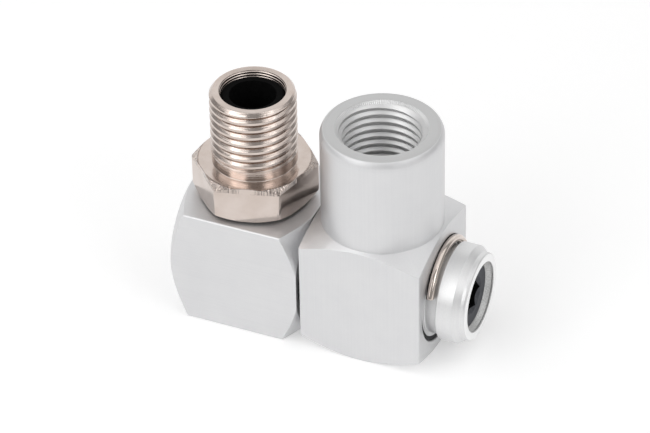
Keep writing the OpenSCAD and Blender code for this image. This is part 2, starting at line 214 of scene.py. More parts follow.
def prism_radius(angles, sides, flat_r, edge_r, turn=0.0):
    """Distance from the axis to the side of a prism whose long edges are rounded."""
    step = 2 * math.pi / sides
    a = np.mod(angles - turn + step / 2, step) - step / 2
    start = math.atan((flat_r - edge_r) * math.tan(step / 2) / flat_r)
    centre = (flat_r - edge_r) / math.cos(step / 2)
    b = step / 2 - np.abs(a)
    arc = centre * np.cos(b) + np.sqrt(np.maximum(edge_r**2 - (centre * np.sin(b)) ** 2, 0))
    return np.where(np.abs(a) <= start, flat_r / np.cos(a), arc)


def prism_angles(sides, flat_r, edge_r, turn, flat_count, edge_count):
    """Angles that follow the flats evenly and the rounded edges closely."""
    step = 2 * math.pi / sides
    start = math.atan((flat_r - edge_r) * math.tan(step / 2) / flat_r)
    found = []
    for k in range(sides):
        middle = turn + k * step
        found.extend(np.linspace(middle - start, middle + start, flat_count, endpoint=False))
        found.extend(np.linspace(middle + start, middle + step - start, edge_count, endpoint=False))
    return np.array(found)


def turned_end(side_r, face_r, slope, rounding):
    """Rows from the end face out to the side of a prism with a turned chamfer.

    Heights are measured inwards from the end face. Both edges of the chamfer are rounded,
    and they run together where the side lies inside the end face."""
    side_r = np.asarray(side_r, float)
    first_r = np.full_like(side_r, face_r - rounding * math.tan(slope / 2))
    first_z = np.full_like(side_r, rounding)
    second_r = side_r - rounding
    second_z = ((second_r - face_r) * math.sin(slope) + rounding) / math.cos(slope)
    gone = second_r < first_r
    first_r = np.where(gone, second_r, first_r)
    second_z = np.where(gone, rounding, second_z)
    rows = []
    for k in range(ARC_STEPS + 1):
        a = slope * k / ARC_STEPS
        rows.append((first_r + rounding * math.sin(a), first_z - rounding * math.cos(a)))
    for k in range(ARC_STEPS + 1):
        a = slope + (math.pi / 2 - slope) * k / ARC_STEPS
        rows.append((second_r + rounding * math.sin(a), second_z - rounding * math.cos(a)))
    return rows


def fillet(before, corner, after, radius, count=ARC_STEPS):
    """Rows of the arc that rounds a corner of a profile."""
    p = np.array(corner, float)
    u = np.array(before, float) - p
    v = np.array(after, float) - p
    room = min(np.linalg.norm(u), np.linalg.norm(v))
    u = u / np.linalg.norm(u)
    v = v / np.linalg.norm(v)
    half = math.acos(max(-1.0, min(1.0, float(u @ v)))) / 2
    reach = min(radius / math.tan(half), room * 0.49)
    radius = reach * math.tan(half)
    centre = p + (u + v) / np.linalg.norm(u + v) * radius / math.sin(half)
    start = p + u * reach - centre
    end = p + v * reach - centre
    rows = []
    turn = math.acos(max(-1.0, min(1.0, float(start @ end) / radius**2)))
    for k in range(count + 1):
        t = k / count
        d = (math.sin((1 - t) * turn) * start + math.sin(t * turn) * end) / math.sin(turn)
        rows.append(tuple(centre + d))
    return rows


def rounded(points):
    """Rows of a profile. A point is (r, z), or (r, z, radius) where its corner is rounded."""
    rows = []
    for i, point in enumerate(points):
        if len(point) == 2 or i in (0, len(points) - 1):
            rows.append(tuple(point[:2]))
        else:
            rows.extend(fillet(points[i - 1][:2], point[:2], points[i + 1][:2], point[2]))
    return rows


def groove(r, middle, width_and_depth, lip):
    """Points of a square groove in a profile, with its lips and its floor rounded."""
    width, depth = width_and_depth
    low = middle - width / 2
    high = middle + width / 2
    return [(r, low, lip), (r - depth, low, GROOVE_EDGE), (r - depth, high, GROOVE_EDGE), (r, high, lip)]


def ease(value, start, end):
    """0 before the start, 1 after the end and smooth between them."""
    t = np.clip((value - start) / (end - start), 0, 1)
    return t * t * (3 - 2 * t)


def thread_rows(angles, low, high, start, half_turn, radius):
    """Rows that follow the thread's helix from low to high. The angles close with a full turn.

    The radius is a function of the height and of the depth below the crest."""
    half = rounded(half_turn)
    form = [(-u, depth) for u, depth in reversed(half[1:])] + half
    turns = angles / (2 * math.pi) - start
    rows = []
    for n in range(math.floor(low / PITCH - turns.max()) - 1, math.ceil(high / PITCH - turns.min()) + 2):
        for u, depth in form[1:]:
            z = (turns + n) * PITCH + u
            if z.max() > low and z.min() < high:
                z = np.clip(z, low, high)
                rows.append((radius(z, depth), z))
    return rows


def to_axis_z(x, z=0.0):
    return Matrix.Translation((x * MM, 0, z * MM))


def to_axis_x(x=0.0):
    """Puts local Z along +X, at the spindle's height, and local X straight down."""
    turn = Matrix(((0, 0, 1, 0), (0, 1, 0, 0), (-1, 0, 0, 0), (0, 0, 0, 1)))
    return Matrix.Translation((x * MM, 0, AXIS_Z * MM)) @ turn


def turned(name, angles, rows, place, closed=False, helix=False):
    """Mesh object swept round its axis. A row whose radius is 0 everywhere is a single point.

    With a helix, the last angle is a full turn after the first and their points are welded."""
    verts = []
    rings = []
    cos_a = np.cos(angles)
    sin_a = np.sin(angles)
    count = len(angles)
    for r, z in rows:
        r = np.broadcast_to(np.asarray(r, float), (count,))
        z = np.broadcast_to(np.asarray(z, float), (count,))
        if np.all(r < 1e-9):
            rings.append([len(verts)])
            verts.append((0.0, 0.0, float(z[0])))
        else:
            rings.append(list(range(len(verts), len(verts) + count)))
            verts.extend(zip(r * cos_a, r * sin_a, z))
    faces = []
    pairs = list(zip(rings, rings[1:]))
    if closed:
        pairs.append((rings[-1], rings[0]))
    for low, high in pairs:
        for j in range(count - 1 if helix else count):
            k = (j + 1) % count
            if len(low) == 1:
                faces.append((low[0], high[k], high[j]))
            elif len(high) == 1:
                faces.append((low[j], low[k], high[0]))
            else:
                faces.append((low[j], low[k], high[k], high[j]))
    mesh = bpy.data.meshes.new(name)
    mesh.from_pydata([(x * MM, y * MM, z * MM) for x, y, z in verts], [], faces)
    if helix:
        weld(mesh)
    mesh.transform(place)
    mesh.validate()
    obj = bpy.data.objects.new(name, mesh)
    bpy.context.scene.collection.objects.link(obj)
    return obj


def weld(mesh):
    """Joins the points that coincide and points all faces outwards."""
    work = bmesh.new()
    work.from_mesh(mesh)
    bmesh.ops.remove_doubles(work, verts=work.verts, dist=2e-7)
    bmesh.ops.recalc_face_normals(work, faces=work.faces)
    work.to_mesh(mesh)
    work.free()


def cut(obj, *cutters):
    """Cuts the shapes out of the object and removes them."""
    for cutter in cutters:
        step = obj.modifiers.new("cut", "BOOLEAN")
        step.operation = "DIFFERENCE"
        step.solver = "EXACT"
        step.object = cutter
        graph = bpy.context.evaluated_depsgraph_get()
        made = bpy.data.meshes.new_from_object(obj.evaluated_get(graph))
        obj.modifiers.clear()
        old = obj.data
        obj.data = made
        made.name = obj.name
        bpy.data.meshes.remove(old)
        bpy.data.objects.remove(cutter)


def dress(obj, material, body, slot, *nodes, sharp=32):
    """Gives the piece its material and smooth shading, parents it to its body and hides the CAD nodes it
    stands for.
    """
    mesh = obj.data
    weld(mesh)
    mesh.materials.clear()
    mesh.materials.append(material)
    mesh.polygons.foreach_set("use_smooth", [True] * len(mesh.polygons))
    mesh.set_sharp_from_angle(angle=math.radians(sharp))
    shade = obj.modifiers.new("shade", "WEIGHTED_NORMAL")
    shade.keep_sharp = True
    shade.weight = 60
    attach(obj, body)
    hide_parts(*nodes)
    return obj


# Materials, with their colours as linear red, green and blue. A mask stops a few hundredths of
# a millimetre past the edge that it follows.
BLOCK_DARK = (0.70, 0.70, 0.71)
BLOCK_LIGHT = (0.745, 0.745, 0.75)
# The port's rim is a darker grey as painted shade on its flat top; its thread is a lighter grey, partly
# freshly cut metal and partly painted light in the bore
PAINTED_RIM_SHADE = (0.60, 0.60, 0.60)
CUT_AND_LIT_THREAD = (0.76, 0.76, 0.76)
TURNED_DARK = (0.73, 0.73, 0.735)
TURNED_LIGHT = (0.80, 0.80, 0.80)
# Painted light on the spindle's end face, and painted shade inside the recess at that end
PAINTED_LIGHT_END_FACE = (0.94, 0.94, 0.94)
PAINTED_SHADE_RECESS_DARK = (0.50, 0.50, 0.495)
PAINTED_SHADE_RECESS_LIGHT = (0.74, 0.74, 0.735)
NICKEL_DARK = (0.59, 0.505, 0.455)
NICKEL_LIGHT = (0.65, 0.57, 0.525)
WIRE_DARK = (0.60, 0.52, 0.47)
WIRE_LIGHT = (0.72, 0.65, 0.60)
# Painted shade inside the plug's hexagon socket
SOCKET_PAINTED_SHADE = (0.002, 0.002, 0.002)
MOUTH_PITCH = 0.4


def new_material(name):
    material = bpy.data.materials.new(name)
    material.use_nodes = True
    tree = material.node_tree
    shader = tree.nodes["Principled BSDF"]
    return material, tree, shader


def add(tree, kind, inputs=None, **settings):
    """Adds a node. An input's value is a constant, or a socket to link from."""
    made = tree.nodes.new(kind)
    for key, value in settings.items():
        setattr(made, key, value)
    for key, value in (inputs or {}).items():
        if isinstance(value, bpy.types.NodeSocket):
            tree.links.new(value, made.inputs[key])
        else:
            made.inputs[key].default_value = value
    return made


def coordinates(tree, scale=(1, 1, 1)):
    place = add(tree, "ShaderNodeTexCoord").outputs["Object"]
    return add(tree, "ShaderNodeMapping", {"Vector": place, "Scale": scale}).outputs[0]


def noise(tree, vector, scale, detail=2.0, rough=0.5):
    return add(tree, "ShaderNodeTexNoise",
               {"Vector": vector, "Scale": scale, "Detail": detail, "Roughness": rough}).outputs[0]


def spread(tree, value, low, high):
    """Maps a noise value, which keeps to the middle of 0 to 1, onto the range from low to high."""
    return add(tree, "ShaderNodeMapRange",
               {"Value": value, "From Min": 0.3, "From Max": 0.7,
                "To Min": low, "To Max": high}).outputs[0]


def blend_colours(tree, factor, first, second):
    made = tree.nodes.new("ShaderNodeMix")
    made.data_type = "RGBA"
    tree.links.new(factor, made.inputs["Factor"])
    for socket, value in ((made.inputs[6], first), (made.inputs[7], second)):
        if isinstance(value, bpy.types.NodeSocket):
            tree.links.new(value, socket)
        else:
            socket.default_value = (*value, 1)
    return made.outputs[2]


def calc(tree, operation, a, b=0.0, clamp=False):
    made = tree.nodes.new("ShaderNodeMath")
    made.operation = operation
    made.use_clamp = clamp
    for socket, value in ((made.inputs[0], a), (made.inputs[1], b)):
        if isinstance(value, bpy.types.NodeSocket):
            tree.links.new(value, socket)
        else:
            socket.default_value = value
    return made.outputs[0]


def bump(tree, height, strength, distance, normal=None):
    inputs = {"Height": height, "Strength": strength, "Distance": distance}
    if normal is not None:
        inputs["Normal"] = normal
    return add(tree, "ShaderNodeBump", inputs).outputs[0]


def masked(tree, value, mask):
    """The value where the mask is 1, and 0 where it is 0."""
    return calc(tree, "MULTIPLY", value, mask)


def mixed(tree, first, first_share, second, second_share):
    """Sum of two values, each times its share."""
    return calc(tree, "ADD", calc(tree, "MULTIPLY", first, first_share),
                calc(tree, "MULTIPLY", second, second_share))


def radius_from_axis(tree, axis, centre):
    """Distance from a line along the axis and the place along it, in metres, and the angle round it."""
    place = add(tree, "ShaderNodeTexCoord").outputs["Object"]
    parts = add(tree, "ShaderNodeSeparateXYZ", {"Vector": place})
    names = [n for n in "XYZ" if n != axis]
    first = calc(tree, "SUBTRACT", parts.outputs[names[0]], centre[0])
    second = calc(tree, "SUBTRACT", parts.outputs[names[1]], centre[1])
    square = mixed(tree, first, first, second, second)
    angle = calc(tree, "ARCTAN2", second, first)
    return calc(tree, "SQRT", square), parts.outputs[axis], angle


def aluminium(name, along, port=False):
    """Blasted aluminium with a fine grain and faint lines along the bar.

    With a port, the rim round it is turned and painted a darker grey as shade on its flat top, the
    countersink shows chatter, and the thread is painted lighter, partly as freshly cut metal and partly
    as painted light in the bore."""
    material, tree, shader = new_material(name)
    where = coordinates(tree)
    cloud = noise(tree, where, 260, 3.0)
    fine = noise(tree, where, 5200, 2.0, 0.6)
    lines = noise(tree, coordinates(tree, along), 1.0, 2.0, 0.6)
    tone = mixed(tree, cloud, 0.6, lines, 0.4)
    colour = blend_colours(tree, spread(tree, tone, 0, 1), BLOCK_DARK, BLOCK_LIGHT)
    rough = spread(tree, mixed(tree, fine, 0.5, cloud, 0.5), 0.40, 0.48)
    height = calc(tree, "ADD", fine, calc(tree, "MULTIPLY", lines, 0.35))
    normal = bump(tree, height, 0.10, 0.00004)
    if port:
        top = outlet_high[2]
        radius, level, angle = radius_from_axis(tree, "Z", (0.0, 0.0))
        # Painted shade: the rim's flat top is a darker grey
        rim = calc(tree, "GREATER_THAN", level, (top - 0.05) * MM)
        colour = blend_colours(tree, rim, colour, PAINTED_RIM_SHADE)
        rim_outside = masked(tree, calc(tree, "GREATER_THAN", level, (top - 1.5) * MM),
                             calc(tree, "GREATER_THAN", radius, (NECK_R - 1) * MM))
        rough = calc(tree, "ADD", rough, calc(tree, "MULTIPLY", rim_outside, 0.08))
        within = calc(tree, "LESS_THAN", radius, (PORT_MOUTH_R - 0.02) * MM)
        countersink = masked(tree, within,
                             calc(tree, "GREATER_THAN", level, (top - PORT_MOUTH_L - 0.05) * MM))
        # Painted light, partly: the bore below the rim is a lighter grey, as freshly cut metal and as
        # light in the bore
        cut_and_lit_bore = masked(tree, within, calc(tree, "GREATER_THAN", level, SHOULDER_Z * MM))
        colour = blend_colours(tree, cut_and_lit_bore, colour, CUT_AND_LIT_THREAD)
        rough = calc(tree, "ADD", rough, calc(tree, "MULTIPLY", cut_and_lit_bore, 0.05))
        teeth = calc(tree, "SINE", calc(tree, "MULTIPLY", angle, PORT_CHATTER))
        normal = bump(tree, masked(tree, teeth, countersink), 1.0, 0.00003, normal)
    tree.links.new(colour, shader.inputs["Base Color"])
    tree.links.new(rough, shader.inputs["Roughness"])
    shader.inputs["Metallic"].default_value = 0.82
    tree.links.new(normal, shader.inputs["Normal"])
    return material


def turned_aluminium(name):
    """Turned aluminium with fine tool rings round the spindle axis.

    It is rougher inside the recess, where its colour is a darker grey as painted shade, and its end face
    is a brighter colour as painted light."""
    material, tree, shader = new_material(name)
    radius, along, _ = radius_from_axis(tree, "X", (0.0, AXIS_Z * MM))
    rings = add(tree, "ShaderNodeCombineXYZ", {"X": along, "Y": radius}).outputs[0]
    tool = noise(tree, rings, 5200, 2.0, 0.6)
    grain = noise(tree, coordinates(tree), 4200, 2.0, 0.6)
    tone = mixed(tree, tool, 0.5, grain, 0.5)
    colour = blend_colours(tree, spread(tree, tone, 0, 1), TURNED_DARK, TURNED_LIGHT)
    recess = calc(tree, "LESS_THAN", radius, (RECESS_R + 0.06) * MM)
    # Painted shade: inside the recess the colour is a darker, mottled grey
    recess_shade = blend_colours(tree, spread(tree, grain, 0, 1), PAINTED_SHADE_RECESS_DARK, PAINTED_SHADE_RECESS_LIGHT)
    # Painted light: the end face is a brighter colour
    lit_end_face = calc(tree, "GREATER_THAN", along, (spindle_high[0] - 0.05) * MM)
    colour = blend_colours(tree, lit_end_face, colour, PAINTED_LIGHT_END_FACE)
    tree.links.new(blend_colours(tree, recess, colour, recess_shade), shader.inputs["Base Color"])
    rough = calc(tree, "ADD", spread(tree, tone, 0.40, 0.50), calc(tree, "MULTIPLY", recess, 0.12))
    tree.links.new(rough, shader.inputs["Roughness"])
    shader.inputs["Metallic"].default_value = 1.0
    normal = bump(tree, tone, 0.10, 0.00004)
    normal = bump(tree, masked(tree, grain, recess), 0.6, 0.00008, normal)
    tree.links.new(normal, shader.inputs["Normal"])
    return material


def nickel(name):
    """Warm bright plating, rough in the turned mouth and chattered above the hexagon's corners."""
    material, tree, shader = new_material(name)
    radius, along, angle = radius_from_axis(tree, "Z", (INLET_X * MM, 0.0))
    where = coordinates(tree)
    wave = noise(tree, where, 380, 2.0)
    fine = noise(tree, where, 3800, 3.0, 0.6)
    mouth = masked(tree, calc(tree, "LESS_THAN", radius, (FITTING_MOUTH_R + 0.03) * MM),
                   calc(tree, "GREATER_THAN", along, (fitting_high[2] - 2) * MM))
    colour = blend_colours(tree, spread(tree, wave, 0, 1), NICKEL_DARK, NICKEL_LIGHT)
    tree.links.new(colour, shader.inputs["Base Color"])
    rough = calc(tree, "ADD", spread(tree, fine, 0.10, 0.18), calc(tree, "MULTIPLY", mouth, 0.06))
    tree.links.new(rough, shader.inputs["Roughness"])
    shader.inputs["Metallic"].default_value = 1.0
    # Tool rings on the turned surfaces, coarse in the mouth
    rings = add(tree, "ShaderNodeCombineXYZ", {"X": along, "Y": radius}).outputs[0]
    tool = noise(tree, rings, 6500, 2.0, 0.6)
    normal = bump(tree, mixed(tree, tool, 0.22, fine, 0.25), 0.25, 0.00004)
    waves = calc(tree, "SINE", calc(tree, "MULTIPLY", along, 2 * math.pi / (MOUTH_PITCH * MM)))
    normal = bump(tree, masked(tree, waves, mouth), 1.0, 0.00006, normal)
    threaded = masked(tree, calc(tree, "GREATER_THAN", along, HEX_TOP * MM),
                      calc(tree, "LESS_THAN", radius, (THREAD_R + 0.02) * MM))
    normal = bump(tree, masked(tree, tool, threaded), 0.6, 0.00006, normal)
    # Chatter on the chamfer above the hexagon's corners
    outside = add(tree, "ShaderNodeMapRange",
                  {"Value": radius, "From Min": (HEX_FLAT_R + 0.02) * MM,
                   "From Max": (HEX_FLAT_R + 0.2) * MM}).outputs[0]
    upper = calc(tree, "GREATER_THAN", along, (HEX_TOP - 0.9) * MM)
    spokes = add(tree, "ShaderNodeCombineXYZ",
                 {"X": calc(tree, "MULTIPLY", angle, 0.016),
                  "Y": calc(tree, "MULTIPLY", radius, 0.3)}).outputs[0]
    chatter = noise(tree, spokes, 2000, 1.0, 0.5)
    normal = bump(tree, masked(tree, chatter, masked(tree, outside, upper)), 1.0, 0.001, normal)
    tree.links.new(normal, shader.inputs["Normal"])
    return material


def dark_metal(name, axis, low, high, rough_low, rough_high, metallic, specular, tint, socket=None):
    """Blackened steel with tool rings and a faint mottle.

    A socket, given as the radius and place of its countersink's mouth, is painted full black inside as
    shade, and is rougher there."""
    material, tree, shader = new_material(name)
    centre = (0.0, AXIS_Z * MM) if axis == "X" else (INLET_X * MM, 0.0)
    radius, along, _ = radius_from_axis(tree, axis, centre)
    rings = add(tree, "ShaderNodeCombineXYZ", {"X": along, "Y": radius}).outputs[0]
    tool = noise(tree, rings, 4200, 2.0, 0.6)
    mottle = noise(tree, coordinates(tree), 1500, 3.0, 0.6)
    colour = blend_colours(tree, spread(tree, mottle, 0, 1), low, high)
    rough = spread(tree, mottle, rough_low, rough_high)
    # Painted shade: the socket's walls are painted full black
    if socket:
        below_cone = calc(tree, "GREATER_THAN", calc(tree, "SUBTRACT", radius, along),
                          (socket[0] - socket[1] + 0.02) * MM)
        inside = masked(tree, below_cone, calc(tree, "LESS_THAN", radius, socket[0] * MM))
        colour = blend_colours(tree, inside, colour, SOCKET_PAINTED_SHADE)
        rough = calc(tree, "ADD", rough, calc(tree, "MULTIPLY", inside, 0.35), clamp=True)
    tree.links.new(colour, shader.inputs["Base Color"])
    tree.links.new(rough, shader.inputs["Roughness"])
    shader.inputs["Metallic"].default_value = metallic
    shader.inputs["Specular IOR Level"].default_value = specular
    shader.inputs["Specular Tint"].default_value = tint
    height = calc(tree, "ADD", tool, calc(tree, "MULTIPLY", mottle, 0.5))
    tree.links.new(bump(tree, height, 0.15, 0.00004), shader.inputs["Normal"])
    return material


def drawn_wire(name):
    """Drawn spring wire, bright and a little warm, with lines along its length."""
    material, tree, shader = new_material(name)
    radius, along, angle = radius_from_axis(tree, "X", (0.0, AXIS_Z * MM))
    length = add(tree, "ShaderNodeCombineXYZ",
                 {"X": calc(tree, "MULTIPLY", angle, 0.0004), "Y": radius, "Z": along}).outputs[0]
    lines = noise(tree, length, 5000, 1.0, 0.5)
    colour = blend_colours(tree, spread(tree, lines, 0, 1), WIRE_DARK, WIRE_LIGHT)
    tree.links.new(colour, shader.inputs["Base Color"])
    tree.links.new(spread(tree, lines, 0.08, 0.14), shader.inputs["Roughness"])
    shader.inputs["Metallic"].default_value = 1.0
    tree.links.new(bump(tree, lines, 0.04, 0.00003), shader.inputs["Normal"])
    return material


def moulded(name, low, high, rough_low, rough_high):
    """Rubber or plastic with a fine skin."""
    material, tree, shader = new_material(name)
    where = coordinates(tree)
    skin = noise(tree, where, 2600, 3.0, 0.6)
    cloud = noise(tree, where, 500, 2.0)
    colour = blend_colours(tree, spread(tree, cloud, 0, 1), low, high)
    tree.links.new(colour, shader.inputs["Base Color"])
    tree.links.new(spread(tree, skin, rough_low, rough_high), shader.inputs["Roughness"])
    tree.links.new(bump(tree, skin, 0.12, 0.00003), shader.inputs["Normal"])
    return material


OUTLET_METAL = aluminium("outlet_aluminium", (3600, 3600, 40), port=True)
INLET_METAL = aluminium("inlet_aluminium", (40, 3600, 3600))
SPINDLE_METAL = turned_aluminium("spindle_aluminium")
NICKEL = nickel("nickel_plating")
PLUG_STEEL = dark_metal("plug_steel", "X", (0.07, 0.072, 0.08), (0.115, 0.117, 0.127),
                        rough_low=0.5, rough_high=0.62, metallic=0.3, specular=0.32,
                        tint=(0.5, 0.51, 0.55, 1), socket=(PLUG_SINK_R, plug_high[0] - PLUG_SINK_L))
# Black steel for the stem bolt, painted darker still and almost without reflection, as painted shade
# deep in the fitting's bore
BOLT_STEEL_AND_SHADE = dark_metal("bolt_steel_and_shade", "Z", (0.003, 0.003, 0.003), (0.006, 0.006, 0.006),
                        rough_low=0.7, rough_high=0.85, metallic=0.0, specular=0.04,
                        tint=(1, 1, 1, 1))
WIRE = drawn_wire("spring_wire")
# Black plastic for the washers, made black partly as painted shade in the gaps between the parts
WASHER_AND_GAP_SHADE = moulded("black_plastic_and_gap_shade", (0.008, 0.008, 0.009), (0.015, 0.015, 0.016), 0.6, 0.72)
SEAL = moulded("seal_rubber", (0.010, 0.010, 0.010), (0.018, 0.018, 0.018), 0.5, 0.62)
SLIDE = moulded("slide_ring_plastic", (0.66, 0.62, 0.52), (0.76, 0.72, 0.63), 0.4, 0.52)


# Outlet block with its neck and female thread
def outlet_block():
    angles = prism_angles(4, HALF, BAR_EDGE, 0.0, flat_count=64, edge_count=8)
    angles = np.append(angles, angles[0] + 2 * math.pi)
    side = prism_radius(angles, 4, HALF, BAR_EDGE)
    top = outlet_high[2]
    rows = [(0.0, 0.0)]
    rows += turned_end(side, FOOT_R, FOOT_SLOPE, BLOCK_ROUNDING)
    # The shoulder is the same kind of end, of which only the outer edge is kept
    shoulder = turned_end(side, NECK_R, SHOULDER_SLOPE, BLOCK_ROUNDING)
    outer_edge = shoulder[-ARC_STEPS - 1:]
    rows += [(r, SHOULDER_Z - z) for r, z in reversed(outer_edge)]
    cone = (NECK_R + 1, SHOULDER_Z - math.tan(SHOULDER_SLOPE))
    rows += fillet(cone, (NECK_R, SHOULDER_Z), (NECK_R, top), NECK_COVE, 5)
    flat = (PORT_MOUTH_R + 0.5, top)
    rows += rounded([(NECK_R, SHOULDER_Z + 1), (NECK_R, top - NECK_RIM_H, NECK_RIM_FOOT),
                     (NECK_R - NECK_RIM_W, top, NECK_RIM_HEAD), flat])[1:]
    rows += rounded([flat, (PORT_MOUTH_R, top, PORT_MOUTH_EDGE),
                     (PORT_MOUTH_R - PORT_MOUTH_L, top - PORT_MOUTH_L)])[1:]
    low = top - PORT_THREAD_L

    def radius(z, depth):
        """Female thread, open to the countersink above and run out above the drill."""
        r = np.maximum(PORT_ROOT_R - PORT_FORM[-1][1] + depth, PORT_MOUTH_R - (top - z))
        return np.minimum(r, PORT_DRILL_R + (z - low) * PORT_RUN_OUT)

    rows += reversed(thread_rows(angles, low, top - PORT_MOUTH_L, PORT_PHASE, PORT_FORM, radius))
    drill_foot = low - PORT_DRILL_L
    rows += [(PORT_DRILL_R, low), (PORT_DRILL_R, drill_foot),
             (PORT_PASSAGE_R, drill_foot - (PORT_DRILL_R - PORT_PASSAGE_R)),
             (PORT_PASSAGE_R, AXIS_Z), (0.0, AXIS_Z)]
    body = turned("outlet_block_piece", angles, rows, to_axis_z(0), helix=True)
    edge = HALF - CROSS_BORE_EDGE
    end = HALF + OVER
    flare = OVER + CROSS_BORE_EDGE
    floor = HALF - COUNTERBORE_DEPTH
    bore = turned("bore_cutter", even_angles(ROUND_STEPS),
                  [(0.0, -end), (CROSS_BORE_R + flare, -end), (CROSS_BORE_R, -edge),
                   (CROSS_BORE_R, floor), (COUNTERBORE_R, floor), (COUNTERBORE_R, edge),
                   (COUNTERBORE_R + flare, end), (0.0, end)], to_axis_x())
    cut(body, bore)
    return dress(body, OUTLET_METAL, "outlet_block", "block", "outlet_body")


# Inlet block, turned at both ends and bored from the top and from the right
def inlet_block():
    angles = prism_angles(4, HALF, BAR_EDGE, 0.0, flat_count=64, edge_count=8)
    side = prism_radius(angles, 4, HALF, BAR_EDGE)
    left = inlet_low[0]
    right = inlet_high[0]
    left_end = turned_end(side, LEFT_FACE_R, LEFT_SLOPE, BLOCK_ROUNDING)
    right_end = turned_end(side, RIGHT_FACE_R, RIGHT_SLOPE, BLOCK_ROUNDING)
    rows = [(0.0, left)]
    rows += [(r, left + z) for r, z in left_end]
    rows += [(r, right - z) for r, z in reversed(right_end)]
    rows += [(0.0, right)]
    body = turned("inlet_block_piece", angles, rows, to_axis_x())
    around = even_angles(ROUND_STEPS)
    top = inlet_high[2]
    chamber = turned("chamber_cutter", around,
                     [(0.0, CHAMBER_FLOOR), (CHAMBER_R, CHAMBER_FLOOR),
                      (CHAMBER_R, top - CHAMBER_EDGE),
                      (CHAMBER_R + OVER + CHAMBER_EDGE, top + OVER), (0.0, top + OVER)],
                     to_axis_z(INLET_X))
    hole_top = CHAMBER_FLOOR + OVER
    hole = turned("hole_cutter", around,
                  [(0.0, BOLT_FLOOR), (BOLT_HOLE_R, BOLT_FLOOR), (BOLT_HOLE_R, hole_top),
                   (0.0, hole_top)], to_axis_z(INLET_X))
    seal_floor = right - FACE_SEAL_DEPTH
    socket = turned("socket_cutter", around,
                    [(0.0, INLET_X), (SOCKET_R, INLET_X), (SOCKET_R, seal_floor),
                     (FACE_SEAL_R, seal_floor), (FACE_SEAL_R, right + OVER), (0.0, right + OVER)],
                    to_axis_x())
    cut(body, chamber, hole, socket)
    return dress(body, INLET_METAL, "inlet_block", "block", "inlet_body")


# Inlet fitting: spigot, hexagon, plain shank and male thread
def inlet_fitting():
    turn = HEX_TURN + math.pi / 6
    angles = prism_angles(6, HEX_FLAT_R, HEX_EDGE, turn, flat_count=36, edge_count=8)
    angles = np.append(angles, angles[0] + 2 * math.pi)
    side = prism_radius(angles, 6, HEX_FLAT_R, HEX_EDGE, turn)
    foot = fitting_low[2]
    rim = fitting_high[2]
    points = [(SPIGOT_BORE_R, foot), (SPIGOT_R, foot, SPIGOT_EDGE)]
    points += groove(SPIGOT_R, foot + SPIGOT_GUIDE, GUIDE_GROOVE, 0.05)
    points += groove(SPIGOT_R, foot + SPIGOT_SEAL, SEAL_GROOVE, 0.05)
    skirt = HEX_LOW - HEX_SKIRT
    points += [(SPIGOT_R, HEX_LOW, 0.1), (HEX_SKIRT_R - HEX_SKIRT_SLANT, HEX_LOW, 0.05),
               (HEX_SKIRT_R, skirt, 0.05), (HEX_SKIRT_R + HEX_SKIRT_SLANT, skirt)]
    rows = rounded(points)
    hex_foot = turned_end(side, HEX_FLAT_R, HEX_FOOT_SLOPE, HEX_ROUNDING)
    hex_head = turned_end(side, HEX_FLAT_R, HEX_TOP_SLOPE, HEX_ROUNDING)
    rows += [(r, skirt + z) for r, z in hex_foot]
    rows += [(r, HEX_TOP - z) for r, z in reversed(hex_head)]
    # A narrow land at the shank's top keeps the thread's shading off the shank
    rows += rounded([(HEX_FLAT_R - 1, HEX_TOP), (SHANK_R, HEX_TOP, SHANK_COVE),
                     (SHANK_R, THREAD_LOW - SHANK_LAND), (SHANK_R, THREAD_LOW)])

    def radius(z, depth):
        """Male thread, run out on the shank and shallow at the bevel."""
        full = ease(z, THREAD_LOW, THREAD_LOW + THREAD_RUN_OUT) * ease(rim - z, *RIM_RUN_OUT)
        r = np.minimum(THREAD_R - depth * full, SHANK_R + (z - THREAD_LOW))
        return np.minimum(r, THREAD_R - THREAD_BEVEL + (rim - z))

    rows += thread_rows(angles, THREAD_LOW, rim, THREAD_PHASE, THREAD_FORM, radius)
    rows += rounded([(THREAD_R - THREAD_BEVEL, rim), (FITTING_MOUTH_R, rim, 0.05),
                     (FITTING_BORE_R, rim - FITTING_MOUTH_L)])
    rows += rounded([(FITTING_BORE_R, rim - FITTING_MOUTH_L), (FITTING_BORE_R, FITTING_STEP, 0.15),
                     (SPIGOT_BORE_R, FITTING_STEP, 0.1), (SPIGOT_BORE_R, foot)])[1:-1]
    body = turned("inlet_fitting_piece", angles, rows, to_axis_z(INLET_X), closed=True, helix=True)
    return dress(body, NICKEL, "inlet_fitting", "nickel", "male_fitting", sharp=40)


